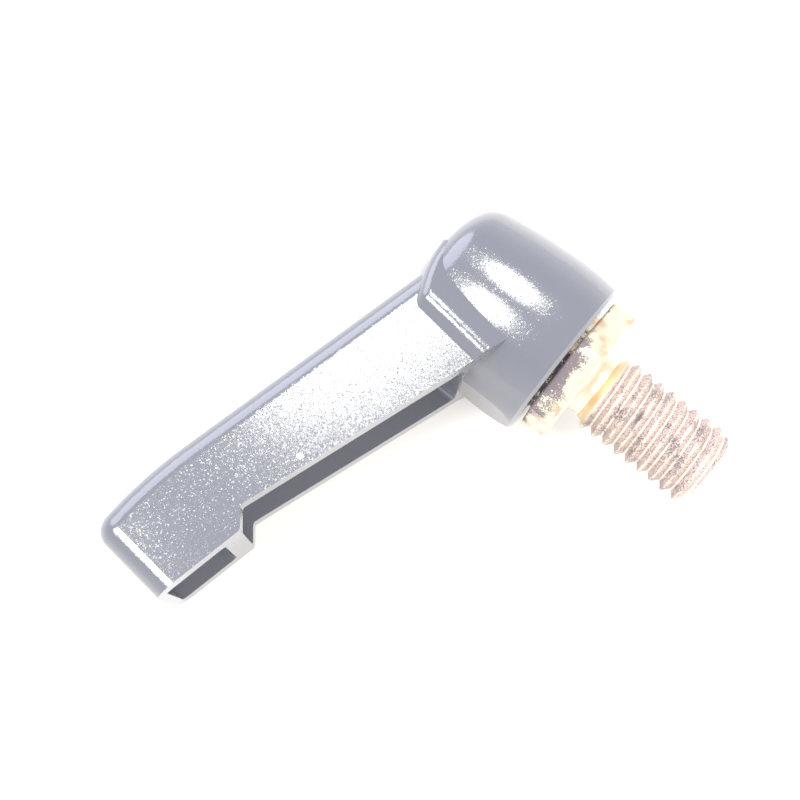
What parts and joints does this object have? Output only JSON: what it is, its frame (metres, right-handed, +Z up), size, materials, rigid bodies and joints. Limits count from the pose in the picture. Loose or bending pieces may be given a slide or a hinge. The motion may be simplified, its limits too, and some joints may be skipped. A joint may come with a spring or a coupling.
{
  "type": "clamp lever screw",
  "caption": "L-shaped hand screw: a die-cast lever handle, hollow underneath, cast round a turned stud with a hexagonal collar and a coarse thread.",
  "frame": {"origin": "bottom centre of the bounding box, on the surface the screw lies on", "axes": "+X along the stud's axis towards its free end; -Y towards the lever's tip; +Z up, out of the side of the lever that faces away from the surface"},
  "size_m": [0.0378, 0.0488, 0.017],
  "materials": {
    "coated_casting": "fine-textured semi-gloss black coat",
    "plated_steel": "yellow zinc plate with brown rust"
  },
  "bodies": {
    "root": {"lever_handle": "coated_casting", "threaded_stud": "plated_steel"}
  },
  "joints": []
}
